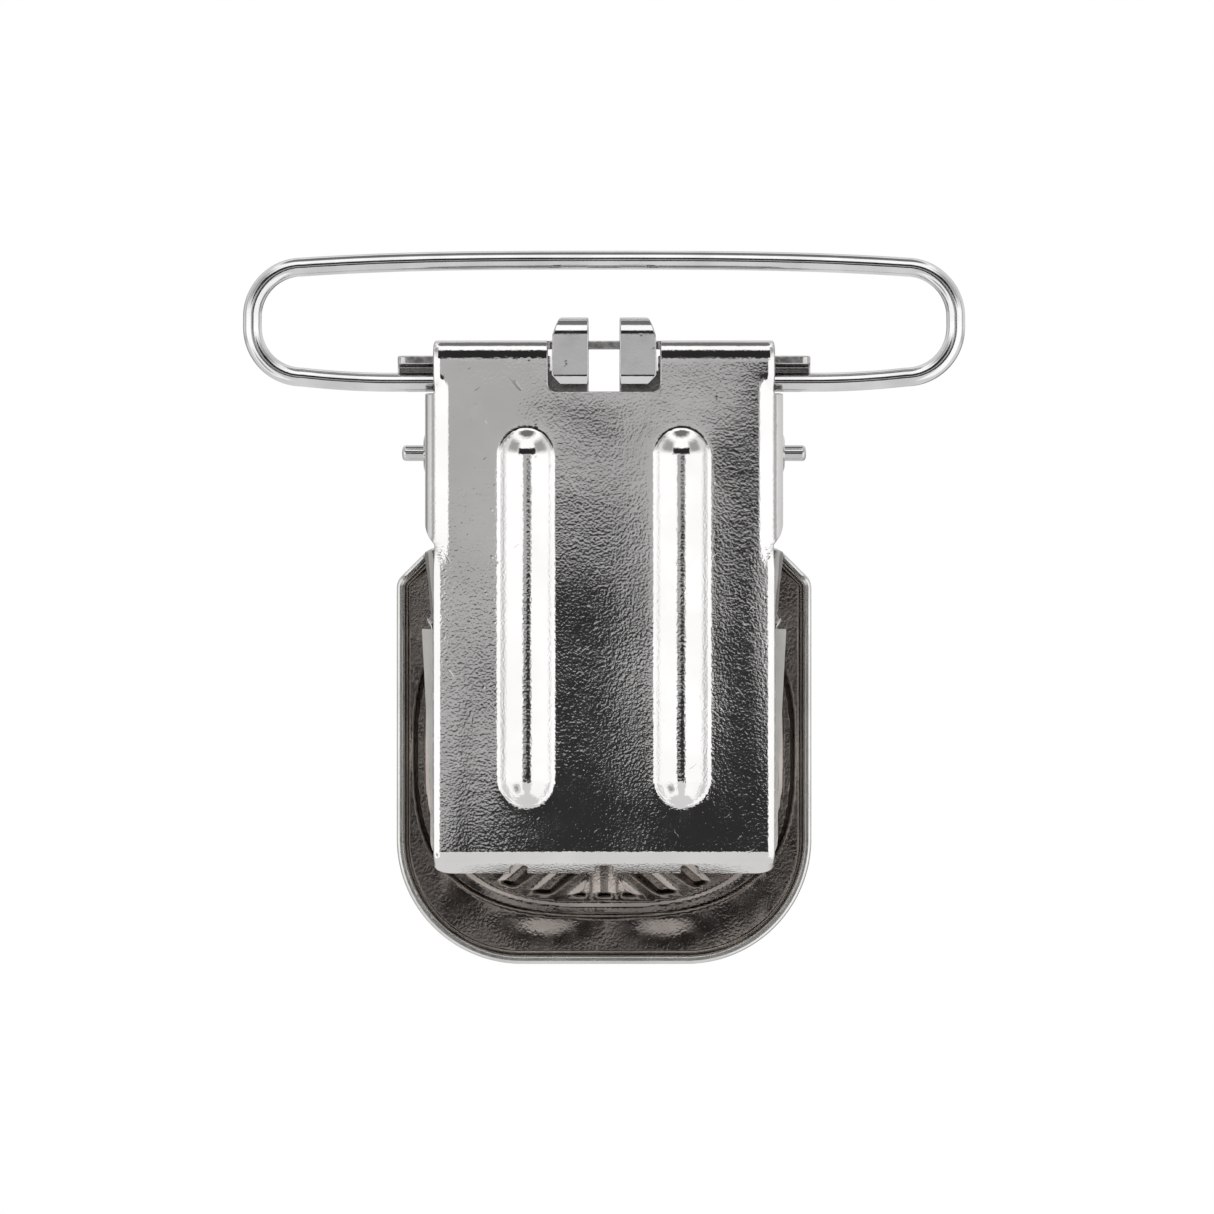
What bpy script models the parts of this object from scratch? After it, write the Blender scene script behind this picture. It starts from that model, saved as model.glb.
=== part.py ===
"""A metal suspender clip: wire strap loop, back plate, jaw with a plastic liner, lever and pin.

The clip hangs upright from its strap loop. +X is the clip's right seen from behind, +Z is up and -Y
is its back, the side that lies against the wearer. The origin is the middle of the loop's upper bar.
Lengths below are millimetres, angles are degrees, and every mesh is scaled to metres as it is made.
"""
import math

import bmesh
import bpy

MM = 0.001
OVERRUN = 1.0            # how far a cutter runs past what it cuts
ARC_STEP = 12.0          # degrees between the points of a bend
GRID = 3                 # decimals of a millimetre kept, so that faces meant to be flush are

# Driving dimensions
WEBBING = 38.0           # width of the elastic webbing that the loop carries
SHEET = 0.5              # thickness of every pressed steel part
WIRE = 1.1               # diameter of the strap loop's wire
FIT = 0.04               # radial clearance of the pin in its holes

# Strap loop: one bent wire whose two ends lie inside the clip
LOOP_SIDE = (WEBBING + 1.8 + WIRE) / 2
LOOP_CORNER = 2.9
LOOP_SAG = 0.4           # how far the upper bar droops at its ends
LOOP_RISE = 0.3          # how far the lower legs rise at their outer ends
LEG_Z = -7.1             # the straight lower legs, which are also the swing axis
LEG_END = 3.6
LEG_STRAIGHT = 12.2
SWING_AXIS = (0.0, 0.0, LEG_Z)

# Back plate
BACK_Y = -2.7            # its outer face
BACK_TOP = -4.7
BACK_HALF = 9.8
FLANGE_BEND = 1.04
FLANGE_FRONT = 0.35      # the top flange's front edge
FACE_END = -34.3
LIP_BEND = 0.7
LIP_TURN = 75.0
LIP_LENGTH = 2.0
LIP_CORNER = 1.0
NOTCH_WIDTH = 0.95
NOTCH_PITCH = 4.95
NOTCH_DEPTH = 1.35
WINDOW_HALF = 3.25
WINDOW_BOTTOM = -7.68
CROSSBAR_WIDTH = 0.9
BEAD_X = 4.5
BEAD_TOP = -9.97
BEAD_BOTTOM = -31.6
BEAD_HALF = 1.43
BEAD_HEIGHT = 0.75
WING_OUTER = 10.4
WING_BEND = 0.9
WING_TOP = -7.77
WING_BOTTOM = -15.42
WING_TAPER_END = -16.6
WING_TIP = 1.3           # radius of the wing's round end about the pin
BOSS_RADIUS = 1.15
BOSS_HEIGHT = 0.15
HINGE = (0.0, FLANGE_FRONT - CROSSBAR_WIDTH / 2, BACK_TOP - SHEET / 2)

# Pin
PIN = (0.0, 3.4, -11.19)
PIN_RADIUS = 0.46
PIN_HALF = 11.8
PIN_CHAMFER = 0.16

# Inner jaw
JAW_BACK = WIRE / 2 + 0.05
JAW_FRONT = JAW_BACK + SHEET
JAW_NECK_HALF = 9.7
JAW_WIDE_HALF = 10.45
JAW_WIDE_TOP = -17.0
JAW_WIDE_END = -20.6
JAW_PAD_TOP = -21.3
JAW_PAD_HALF_TOP = 10.1
JAW_PAD_HALF_END = 9.6
JAW_PAD_TAPER_END = -31.0
JAW_BOTTOM = -34.7
JAW_LIP_DEPTH = 0.8
ARM_HALF = 12.0
ARM_BOTTOM = -7.65
ARM_TOP = -5.57
ARM_BEND = 0.7
ARM_INNER = 3.4
ARM_FLANGE_BACK = -0.75
FINGER_INNER = 0.9
FINGER_OUTER = 3.0
FINGER_TOP = -3.36
FINGER_BACK = -2.9
FINGER_BEND = 1.04
FINGER_TIP = (-2.55, -7.22)
FINGER_KNEE = (-2.82, -6.85)
SLOT_BOTTOM = -8.2

# Plastic liner
LINER_GAP = 0.05
LINER_WALL = 0.45
LINER_TOP = -21.45
LINER_BOTTOM = -35.2
LINER_FRONT = JAW_FRONT + LINER_GAP + 0.4
LINER_HOOK = 0.5
RIDGE_COUNT = 6
RIDGE_PITCH = 1.4
RIDGE_HEIGHT = 0.3
RIDGE_HALF = 9.0
RIDGE_LOWEST = -33.9

# Lever, which is also the clip's front cover
COVER_BACK = 4.1
COVER_FRONT = COVER_BACK + SHEET
COVER_HALF = 12.1
COVER_BOTTOM = -41.0
COVER_CORNER = 7.3
COVER_RIM_BACK = 3.3
SHOULDER_TOP = -16.3
NECK_HALF = 9.75
NECK_BEND = 0.7
NECK_TOP = PIN[2] + 1.0
EAR_RADIUS = 1.05
CAM_REACH = PIN[1] - JAW_FRONT - 0.05
BADGE_HALF_WIDTH = 10.8
BADGE_HALF_HEIGHT = 9.3
BADGE_CENTRE = -28.7
BADGE_RING = 0.5
BADGE_HEIGHT = 0.25
BADGE_POWER = 2.8


# ---------------------------------------------------------------- outlines

def arc(centre, radius, start, end):
    """Points of an arc from start to end degrees, both included."""
    steps = max(2, math.ceil(abs(end - start) / ARC_STEP))
    angles = [math.radians(start + (end - start) * i / steps) for i in range(steps + 1)]
    return [(centre[0] + radius * math.cos(a), centre[1] + radius * math.sin(a)) for a in angles]


def rounded(corners):
    """A closed outline whose corners are (u, v, radius)."""
    points = []
    for index, (u, v, radius) in enumerate(corners):
        before = corners[index - 1]
        after = corners[(index + 1) % len(corners)]
        if radius == 0:
            points.append((u, v))
            continue
        angle_in = math.atan2(before[1] - v, before[0] - u)
        angle_out = math.atan2(after[1] - v, after[0] - u)
        half = (angle_out - angle_in) / 2
        middle = angle_in + half
        reach = radius / abs(math.sin(half))
        if math.cos(half) < 0:
            middle += math.pi
        centre = (u + reach * math.cos(middle), v + reach * math.sin(middle))
        tangent = math.sqrt(reach ** 2 - radius ** 2)
        first = (u + tangent * math.cos(angle_in), v + tangent * math.sin(angle_in))
        last = (u + tangent * math.cos(angle_out), v + tangent * math.sin(angle_out))
        start = math.degrees(math.atan2(first[1] - centre[1], first[0] - centre[0]))
        end = math.degrees(math.atan2(last[1] - centre[1], last[0] - centre[0]))
        turn = (end - start + 180) % 360 - 180
        points += arc(centre, radius, start, start + turn)
    return points


def mirrored(half):
    """A closed outline from its right half, which runs from the top of the middle line to its foot."""
    return half + [(-u, v) for u, v in reversed(half)]


def strip(path, thickness=SHEET):
    """The closed section of a bent sheet: its outer path, and the same path moved to its left."""
    inner = []
    for index, (u, v) in enumerate(path):
        normals = []
        for a, b in ((index - 1, index), (index, index + 1)):
            if a >= 0 and b < len(path):
                du, dv = path[b][0] - path[a][0], path[b][1] - path[a][1]
                length = math.hypot(du, dv)
                normals.append((-dv / length, du / length))
        nu = sum(n[0] for n in normals) / len(normals)
        nv = sum(n[1] for n in normals) / len(normals)
        scale = thickness / (nu ** 2 + nv ** 2)
        inner.append((u + nu * scale, v + nv * scale))
    return path + inner[::-1]


def tangent_angle(point, centre, radius, side):
    """The direction from a circle's centre to where a line from the point touches it."""
    away = math.degrees(math.atan2(point[1] - centre[1], point[0] - centre[0]))
    distance = math.hypot(point[0] - centre[0], point[1] - centre[1])
    return away + side * math.degrees(math.acos(radius / distance))


# ---------------------------------------------------------------- solids

def place(axis, u, v, w):
    """A point from an outline's two coordinates and its position along the axis."""
    return {"X": (w, u, v), "Y": (u, w, v), "Z": (u, v, w)}[axis]


def make_object(name, mesh_data):
    """An object in metres from a bmesh in millimetres, with its faces turned outwards."""
    bmesh.ops.recalc_face_normals(mesh_data, faces=mesh_data.faces)
    bmesh.ops.scale(mesh_data, vec=(MM, MM, MM), verts=mesh_data.verts)
    mesh = bpy.data.meshes.new(name)
    mesh_data.to_mesh(mesh)
    mesh_data.free()
    obj = bpy.data.objects.new(name, mesh)
    bpy.context.scene.collection.objects.link(obj)
    return obj


def prism(name, outline, axis, low, high):
    """An outline pushed along an axis: (y, z) outlines along X, (x, z) along Y, (x, y) along Z."""
    mesh_data = bmesh.new()
    rings = []
    for end in (low, high):
        points = [place(axis, round(u, GRID), round(v, GRID), round(end, GRID)) for u, v in outline]
        rings.append([mesh_data.verts.new(point) for point in points])
        mesh_data.faces.new(rings[-1])
    for index in range(len(outline)):
        near, far = rings
        mesh_data.faces.new((near[index - 1], near[index], far[index], far[index - 1]))
    return make_object(name, mesh_data)


def box(name, x, y, z):
    """A box from its low and high ends along each axis."""
    return prism(name, [(x[0], z[0]), (x[1], z[0]), (x[1], z[1]), (x[0], z[1])], "Y", y[0], y[1])


def turned_pin(name, profile, sides=24):
    """A body turned about the pin's axis; the profile runs from end to end as (x, radius)."""
    mesh_data = bmesh.new()
    verts = [mesh_data.verts.new((x, PIN[1], PIN[2] + radius)) for x, radius in profile]
    edges = [mesh_data.edges.new(pair) for pair in zip(verts, verts[1:])]
    bmesh.ops.spin(mesh_data, geom=verts + edges, cent=PIN, axis=(1, 0, 0), angle=math.tau,
                   steps=sides, use_merge=True, use_duplicate=False)
    bmesh.ops.remove_doubles(mesh_data, verts=mesh_data.verts, dist=0.001)
    return make_object(name, mesh_data)


def pin_hole(name, low, high):
    """A running-fit hole cutter on the pin's axis."""
    radius = PIN_RADIUS + FIT
    return turned_pin(name, [(low, 0), (low, radius), (high, radius), (high, 0)])


def capsule(name, radius, centre_x, centre_y, low, high):
    """A round-ended bar along Z, made by pulling the halves of a sphere apart."""
    mesh_data = bmesh.new()
    bmesh.ops.create_uvsphere(mesh_data, u_segments=32, v_segments=15, radius=radius)
    for vert in mesh_data.verts:
        end = high if vert.co.z > 0 else low
        vert.co.x += centre_x
        vert.co.y += centre_y
        vert.co.z += end
    return make_object(name, mesh_data)


def combine(target, tool, operation):
    """Join, cut or keep with a Boolean, bake the result into the target and drop the tool."""
    modifier = target.modifiers.new(operation.title(), "BOOLEAN")
    modifier.operation = operation
    modifier.solver = "EXACT"
    modifier.object = tool
    shape = target.evaluated_get(bpy.context.evaluated_depsgraph_get())
    result = bpy.data.meshes.new_from_object(shape)
    target.modifiers.clear()
    target.data = result
    bpy.data.objects.remove(tool)


def join(target, *tools):
    for tool in tools:
        combine(target, tool, "UNION")


def cut(target, *tools):
    for tool in tools:
        combine(target, tool, "DIFFERENCE")


def keep(target, tool):
    combine(target, tool, "INTERSECT")


# ---------------------------------------------------------------- sub-parts

def loop_path():
    """The wire's centre line, as (x, z), from one hidden end round to the other."""
    corner_x = LOOP_SIDE - LOOP_CORNER
    leg = [(LEG_END, LEG_Z), (LEG_STRAIGHT, LEG_Z)]
    for step in range(1, 5):
        x = LEG_STRAIGHT + (corner_x - LEG_STRAIGHT) * step / 5
        leg.append((x, LEG_Z + LOOP_RISE * (step / 5) ** 2))
    lower = arc((corner_x, LEG_Z + LOOP_RISE + LOOP_CORNER), LOOP_CORNER, -90, 0)
    upper = arc((corner_x, -LOOP_SAG - LOOP_CORNER), LOOP_CORNER, 0, 90)
    bar = [(corner_x * step / 8, -LOOP_SAG * (step / 8) ** 3) for step in range(7, -1, -1)]
    right = leg + lower + upper + bar
    return right + [(-x, z) for x, z in reversed(right[:-1])]


def make_strap_loop():
    curve = bpy.data.curves.new("strap_loop", "CURVE")
    curve.dimensions = "3D"
    curve.bevel_depth = WIRE / 2 * MM
    curve.bevel_resolution = 4
    curve.use_fill_caps = True
    path = loop_path()
    spline = curve.splines.new("POLY")
    spline.points.add(len(path) - 1)
    for point, (x, z) in zip(spline.points, path):
        point.co = (x * MM, 0, z * MM, 1)
    obj = bpy.data.objects.new("strap_loop", curve)
    bpy.context.scene.collection.objects.link(obj)
    return obj


def back_section():
    """The back plate's outer side as (y, z), from the flange's front edge round to the lip's end."""
    flange_centre = (BACK_Y + FLANGE_BEND, BACK_TOP - FLANGE_BEND)
    lip_centre = (BACK_Y + LIP_BEND, FACE_END)
    path = [(FLANGE_FRONT, BACK_TOP)]
    path += arc(flange_centre, FLANGE_BEND, 90, 180)
    path += arc(lip_centre, LIP_BEND, 180, 180 + LIP_TURN)
    turn = math.radians(LIP_TURN)
    end = path[-1]
    path.append((end[0] + LIP_LENGTH * math.sin(turn), end[1] - LIP_LENGTH * math.cos(turn)))
    return path


def wing_channel():
    """The plate and both wings bent round from it, trimmed to the wings' outline from the side."""
    bend = WING_OUTER - WING_BEND
    reach = PIN[1] + WING_TIP + OVERRUN
    right = arc((bend, BACK_Y + WING_BEND), WING_BEND, 270, 360) + [(WING_OUTER, reach)]
    path = [(-x, y) for x, y in reversed(right)] + right
    channel = prism("channel", strip(path), "Z", WING_TAPER_END, WING_TOP)
    root_y = BACK_Y + WING_BEND
    behind = BACK_Y - OVERRUN
    centre = PIN[1:]
    upper = tangent_angle((root_y, WING_TOP), centre, WING_TIP, -1)
    lower = tangent_angle((root_y, WING_BOTTOM), centre, WING_TIP, 1)
    outline = [(behind, WING_TOP), (root_y, WING_TOP)]
    outline += arc(centre, WING_TIP, upper, lower)
    outline += [(root_y, WING_BOTTOM), (BACK_Y - 0.05, WING_TAPER_END), (behind, WING_TAPER_END)]
    keep(channel, prism("wing_side", outline, "X", -WING_OUTER - OVERRUN, WING_OUTER + OVERRUN))
    return channel


def bead(side):
    """One stiffening bead: the outer form above the plate, and the hollow pressed behind it."""
    radius = (BEAD_HALF ** 2 + BEAD_HEIGHT ** 2) / (2 * BEAD_HEIGHT)
    centre_y = BACK_Y - BEAD_HEIGHT + radius
    ends = (BEAD_BOTTOM + BEAD_HALF, BEAD_TOP - BEAD_HALF)
    outer = capsule("bead", radius, side * BEAD_X, centre_y, *ends)
    face = box("bead_side", (-WING_OUTER, WING_OUTER), (BACK_Y - 5, BACK_Y + SHEET / 2),
               (FACE_END, WING_TOP))
    keep(outer, face)
    hollow = capsule("bead_hollow", radius - SHEET, side * BEAD_X, centre_y, *ends)
    return outer, hollow


def notch(x):
    """An arch cut into the lip's free edge, seen along Z."""
    tip_y = back_section()[-1][0]
    top_y = tip_y - NOTCH_DEPTH
    half = NOTCH_WIDTH / 2
    outline = arc((x, top_y + half), half, 180, 360) + [(x + half, 3), (x - half, 3)]
    return prism("notch", outline, "Z", FACE_END - 5, FACE_END)


def boss(side):
    """The raised ring round the pin on a wing's outer face."""
    face = side * (WING_OUTER - SHEET / 2)
    top = side * (WING_OUTER + BOSS_HEIGHT)
    return turned_pin("boss", [(face, 0), (face, BOSS_RADIUS), (top, BOSS_RADIUS), (top, 0)])


def make_back_plate():
    plate = prism("back_plate", strip(back_section()), "X", -BACK_HALF, BACK_HALF)
    lowest = min(z for _, z in back_section())
    corners = [(-BACK_HALF, lowest - 0.01, LIP_CORNER), (BACK_HALF, lowest - 0.01, LIP_CORNER),
               (BACK_HALF, BACK_TOP + 0.01, 0.5), (-BACK_HALF, BACK_TOP + 0.01, 0.5)]
    keep(plate, prism("back_outline", rounded(corners), "Y", BACK_Y - OVERRUN, 3))
    for side in (-1, 1):
        bend = side * (WING_OUTER - WING_BEND)
        edge = side * (BACK_HALF + OVERRUN)
        cut(plate, box("wing_relief", sorted((bend, edge)), (BACK_Y - OVERRUN, BACK_Y + 1),
                       (WING_TAPER_END, WING_TOP)))
    join(plate, wing_channel())
    for side in (-1, 1):
        outer, hollow = bead(side)
        join(plate, outer)
        cut(plate, hollow)
        join(plate, boss(side))
    window_front = FLANGE_FRONT - CROSSBAR_WIDTH
    cut(plate, box("window", (-WINDOW_HALF, WINDOW_HALF), (BACK_Y - OVERRUN, window_front),
                   (WINDOW_BOTTOM, BACK_TOP + OVERRUN)))
    for column in (-1, 0, 1):
        cut(plate, notch(column * NOTCH_PITCH))
    reach = WING_OUTER + OVERRUN
    cut(plate, pin_hole("pin_holes", -reach, reach))
    return plate


def make_pivot_pin():
    chamfer = PIN_RADIUS - PIN_CHAMFER
    shoulder = PIN_HALF - PIN_CHAMFER
    half = [(shoulder, PIN_RADIUS), (PIN_HALF, chamfer), (PIN_HALF, 0)]
    return turned_pin("pivot_pin", [(-x, radius) for x, radius in reversed(half)] + half)


def jaw_half_width(z):
    """Half the jaw's width where the liner holds it."""
    along = (JAW_PAD_TOP - z) / (JAW_PAD_TOP - JAW_PAD_TAPER_END)
    return JAW_PAD_HALF_TOP + (JAW_PAD_HALF_END - JAW_PAD_HALF_TOP) * min(max(along, 0), 1)


def jaw_pad_outline(grow, top, bottom, corner):
    """The part of the jaw's outline that the liner wraps, grown on all sides but the top."""
    end = JAW_PAD_TAPER_END
    return rounded([(-jaw_half_width(top) - grow, top, 0), (-jaw_half_width(end) - grow, end, 0),
                    (-JAW_PAD_HALF_END - grow, bottom, corner),
                    (JAW_PAD_HALF_END + grow, bottom, corner),
                    (jaw_half_width(end) + grow, end, 0), (jaw_half_width(top) + grow, top, 0)])


def jaw_outline():
    """The jaw seen from behind: arms at the top, neck between the wings, pad below."""
    half = [(0, SLOT_BOTTOM), (FINGER_INNER, SLOT_BOTTOM), (FINGER_INNER, FINGER_TOP - 1.5),
            (FINGER_OUTER, FINGER_TOP - 1.5), (FINGER_OUTER, ARM_TOP - ARM_BEND),
            (ARM_HALF, ARM_TOP - ARM_BEND)]
    half += arc((ARM_HALF - 0.4, ARM_BOTTOM + 0.4), 0.4, 0, -90)
    half += [(JAW_NECK_HALF, ARM_BOTTOM), (JAW_NECK_HALF, JAW_WIDE_TOP + 0.8),
             (JAW_WIDE_HALF, JAW_WIDE_TOP), (JAW_WIDE_HALF, JAW_WIDE_END),
             (JAW_PAD_HALF_TOP, JAW_PAD_TOP), (JAW_PAD_HALF_END, JAW_PAD_TAPER_END)]
    half += arc((JAW_PAD_HALF_END - 1.2, JAW_BOTTOM + 1.2), 1.2, 0, -90)
    half += [(0, JAW_BOTTOM)]
    return [point for point in mirrored(half) if abs(point[0]) > 0]


def make_inner_jaw():
    jaw = prism("inner_jaw", jaw_outline(), "Y", JAW_BACK, JAW_FRONT)
    arm_centre = (JAW_FRONT - ARM_BEND, ARM_TOP - ARM_BEND)
    arm_section = [(JAW_FRONT, ARM_BOTTOM + 0.5)] + arc(arm_centre, ARM_BEND, 0, 90)
    arm_section.append((ARM_FLANGE_BACK, ARM_TOP))
    bend_z = FINGER_TOP - FINGER_BEND
    finger = [(JAW_FRONT, SLOT_BOTTOM - 0.4)]
    finger += arc((JAW_FRONT - FINGER_BEND, bend_z), FINGER_BEND, 0, 90)
    finger += arc((FINGER_BACK + FINGER_BEND, bend_z), FINGER_BEND, 90, 180)
    finger += [FINGER_KNEE, FINGER_TIP]
    for side in (-1, 1):
        join(jaw, prism("arm_flange", strip(arm_section), "X",
                        *sorted((side * ARM_INNER, side * ARM_HALF))))
        join(jaw, prism("finger", strip(finger), "X",
                        *sorted((side * FINGER_INNER, side * FINGER_OUTER))))
        edge = side * JAW_WIDE_HALF
        join(jaw, box("side_lip", sorted((edge, edge - side * SHEET)),
                      (JAW_BACK, JAW_FRONT + JAW_LIP_DEPTH), (JAW_WIDE_END, JAW_WIDE_TOP)))
    return jaw


def make_jaw_liner():
    grow = LINER_GAP + LINER_WALL
    body = jaw_pad_outline(grow, LINER_TOP, LINER_BOTTOM, 1.5)
    liner = prism("jaw_liner", body, "Y", 0, LINER_FRONT)
    top = LINER_TOP + OVERRUN
    pocket = jaw_pad_outline(LINER_GAP, top, JAW_BOTTOM - LINER_GAP, 1.2)
    cut(liner, prism("pocket", pocket, "Y", JAW_BACK - LINER_GAP, JAW_FRONT + LINER_GAP))
    mouth = jaw_pad_outline(-LINER_HOOK, top, JAW_BOTTOM + LINER_HOOK, 1.0)
    cut(liner, prism("mouth", mouth, "Y", JAW_FRONT, LINER_FRONT + OVERRUN))
    half = RIDGE_PITCH / 4
    for index in range(RIDGE_COUNT):
        z = RIDGE_LOWEST + index * RIDGE_PITCH
        ridge = [(0.1, z - half), (0.1, z + half), (0, z + half), (-RIDGE_HEIGHT, z), (0, z - half)]
        join(liner, prism("ridge", ridge, "X", -RIDGE_HALF, RIDGE_HALF))
    return liner


def cover_outline(inset, top_half):
    """The cover below its neck, moved inwards; top_half is where its sloping shoulders start."""
    side = COVER_HALF - inset
    bottom = COVER_BOTTOM + inset
    corner = COVER_CORNER - inset
    slope = NECK_HALF + SHOULDER_TOP - inset * math.sqrt(2)
    top = slope - top_half
    outline = [(-top_half, top, 0), (-side, slope - side, 0.5), (-side, bottom, corner),
               (side, bottom, corner), (side, slope - side, 0.5), (top_half, top, 0)]
    if inset:
        outline += [(top_half, top + OVERRUN, 0), (-top_half, top + OVERRUN, 0)]
    return rounded(outline)


def ear_channel():
    """The lever's neck and the two ears bent back from it, trimmed to the ears' cam outline."""
    bend_x = NECK_HALF - NECK_BEND
    bend_y = COVER_FRONT - NECK_BEND
    right = [(NECK_HALF, 0.5)] + arc((bend_x, bend_y), NECK_BEND, 0, 90)
    path = right + [(-x, y) for x, y in reversed(right)]
    foot = SHOULDER_TOP - 0.7
    channel = prism("ears", strip(path), "Z", foot, NECK_TOP)
    y, z = PIN[1:]
    front = COVER_FRONT + OVERRUN
    outline = [(front, NECK_TOP)]
    outline += arc((y, z), EAR_RADIUS, 72, 130)
    outline += [(y - 1.6, z + 0.5), (y - CAM_REACH, z + 0.05), (y - CAM_REACH, z - 2.2),
                (y - 1.9, z - 2.7), (COVER_RIM_BACK, SHOULDER_TOP), (COVER_RIM_BACK, foot),
                (front, foot)]
    keep(channel, prism("cam_side", outline, "X", -NECK_HALF - OVERRUN, NECK_HALF + OVERRUN))
    return channel


def badge_outline(inset):
    """A squarish oval about the cover's middle."""
    points = []
    for step in range(48):
        angle = math.tau * step / 48
        c, s = math.cos(angle), math.sin(angle)
        x = math.copysign(abs(c) ** (2 / BADGE_POWER), c) * (BADGE_HALF_WIDTH - inset)
        z = math.copysign(abs(s) ** (2 / BADGE_POWER), s) * (BADGE_HALF_HEIGHT - inset)
        points.append((x, BADGE_CENTRE + z))
    return points


def make_front_lever():
    lever = prism("front_lever", cover_outline(0, NECK_HALF), "Y", COVER_RIM_BACK, COVER_FRONT)
    hollow = cover_outline(SHEET, NECK_HALF - SHEET)
    cut(lever, prism("cover_hollow", hollow, "Y", COVER_RIM_BACK - OVERRUN, COVER_BACK))
    join(lever, ear_channel())
    ring = prism("badge", badge_outline(0), "Y", COVER_FRONT - 0.1, COVER_FRONT + BADGE_HEIGHT)
    cut(ring, prism("badge_inside", badge_outline(BADGE_RING), "Y", COVER_BACK, COVER_FRONT + 1))
    join(lever, ring)
    cut(lever, pin_hole("ear_holes", -NECK_HALF - OVERRUN, NECK_HALF + OVERRUN))
    return lever


# ---------------------------------------------------------------- finish and assembly

def material(name, color, roughness, metallic):
    finish = bpy.data.materials.new(name)
    finish.use_nodes = True
    shader = finish.node_tree.nodes["Principled BSDF"]
    shader.inputs["Base Color"].default_value = (*color, 1)
    shader.inputs["Roughness"].default_value = roughness
    shader.inputs["Metallic"].default_value = metallic
    finish.diffuse_color = (*color, 1)
    return finish


def set_origin(obj, origin):
    """Move an object's origin onto its joint's axis and leave its surface where it is."""
    shift = [value * MM for value in origin]
    if obj.type == "MESH":
        for vert in obj.data.vertices:
            vert.co = [co - move for co, move in zip(vert.co, shift)]
    obj.location = shift


def main():
    for old in list(bpy.data.objects):
        bpy.data.objects.remove(old)
    steel = (0.62, 0.62, 0.63)
    parts = (
        (make_strap_loop, (0.0, 0.0, 0.0), (0.66, 0.66, 0.67), 0.16, 1.0),
        (make_back_plate, SWING_AXIS, steel, 0.2, 1.0),
        (make_pivot_pin, SWING_AXIS, (0.5, 0.5, 0.51), 0.25, 1.0),
        (make_inner_jaw, HINGE, steel, 0.22, 1.0),
        (make_jaw_liner, HINGE, (0.78, 0.77, 0.74), 0.5, 0.0),
        (make_front_lever, PIN, (0.45, 0.44, 0.43), 0.2, 1.0),
    )
    for build, origin, color, roughness, metallic in parts:
        obj = build()
        obj.data.materials.clear()
        obj.data.materials.append(material(obj.name, color, roughness, metallic))
        set_origin(obj, origin)


main()
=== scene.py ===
"""The looks of the metal suspender clip: pressed and plated sheet, bent wire, a pin and a plastic liner.

Every pressed part is built the way the real one is made. A flat blank is cut to its outline, then a
fold function bends, beads and embosses it. Lengths are millimetres until a mesh is made. The frame is
the CAD model's: +X is the clip's right seen from behind, +Z is up, and -Y is its back.
"""
import math

import bpy
import numpy as np
from mathutils.geometry import delaunay_2d_cdt
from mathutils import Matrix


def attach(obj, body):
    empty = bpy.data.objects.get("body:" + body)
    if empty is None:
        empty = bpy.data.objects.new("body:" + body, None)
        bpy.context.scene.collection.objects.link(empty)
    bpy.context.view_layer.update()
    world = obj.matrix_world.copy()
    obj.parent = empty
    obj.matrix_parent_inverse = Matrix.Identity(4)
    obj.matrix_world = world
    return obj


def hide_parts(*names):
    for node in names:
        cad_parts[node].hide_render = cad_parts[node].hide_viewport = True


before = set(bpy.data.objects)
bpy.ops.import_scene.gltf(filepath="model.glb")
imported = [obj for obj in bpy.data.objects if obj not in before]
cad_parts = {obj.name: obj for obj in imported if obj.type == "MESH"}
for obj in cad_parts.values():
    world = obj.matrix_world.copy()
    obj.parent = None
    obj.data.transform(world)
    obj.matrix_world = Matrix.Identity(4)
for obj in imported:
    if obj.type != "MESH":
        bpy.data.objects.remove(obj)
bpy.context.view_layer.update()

MM = 0.001
SHEET = 0.5
HALF_SHEET = SHEET / 2
WIRE = 1.1
EDGE_ROUND = 0.09        # radius on the sheared edges
RIM_ROUND = 0.2          # and on the cover's, which is tumbled round
GRID_STEP = 0.18         # spacing of the points across a plain sheet
FINE_STEP = 0.13         # and across an embossed one
SLOPE_STEP = 0.01        # how far to either side of a point its slope is measured
WAVE_SLOPE = 0.0016      # height of a slow wave in the sheet for each millimetre of its length

# Strap loop
LOOP_SIDE = 20.45
LOOP_CORNER = 2.9
LOOP_SAG = 0.4           # how much lower the upper bar is at its corners than in the middle
LOOP_RISE = 0.3          # how much higher the lower legs are at their corners
LEG_Z = -7.1
LEG_END = 3.6            # how far from the middle the wire's hidden ends are
LEG_STRAIGHT = 12.2      # and where the legs start to rise

# Back plate
BACK_Y = -2.7
BACK_TOP = -4.7
BACK_HALF = 9.8
EASE_RADIUS = 3.0        # the top flange bends slowly at first
EASE_TURN = 12.0
FLANGE_RADIUS = 0.5      # then tightly, up to a right angle
FLANGE_RISE = 1.27       # how far the whole bend's outer face goes up
FLANGE_DEPTH = 0.805     # and forward
FLANGE_FRONT = 0.35
FACE_TOP = BACK_TOP - FLANGE_RISE
FACE_END = -34.3
LIP_BEND = 0.8
LIP_TURN = 66.0
LIP_LENGTH = 1.6
LIP_CORNER = 1.0
NOTCH_HALF = 0.475
NOTCH_PITCH = 4.95
NOTCH_DEPTH = 1.35
WINDOW_HALF = 3.25
WINDOW_BOTTOM = -7.68
CROSSBAR_WIDTH = 0.9
BEAD_X = 4.5
BEAD_TOP = -9.97
BEAD_BOTTOM = -31.6
BEAD_HALF = 1.43
BEAD_HEIGHT = 0.75
BEAD_FILLET = 0.14
CROWN_MIDDLE = -19.0     # the plate bows out most at this height
CROWN_SPAN = 15.0        # and not at all this far above and below
CROWN_ACROSS = 0.14      # how far it bows out from side to side
CROWN_UPRIGHT = 0.24     # and from top to bottom
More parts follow.
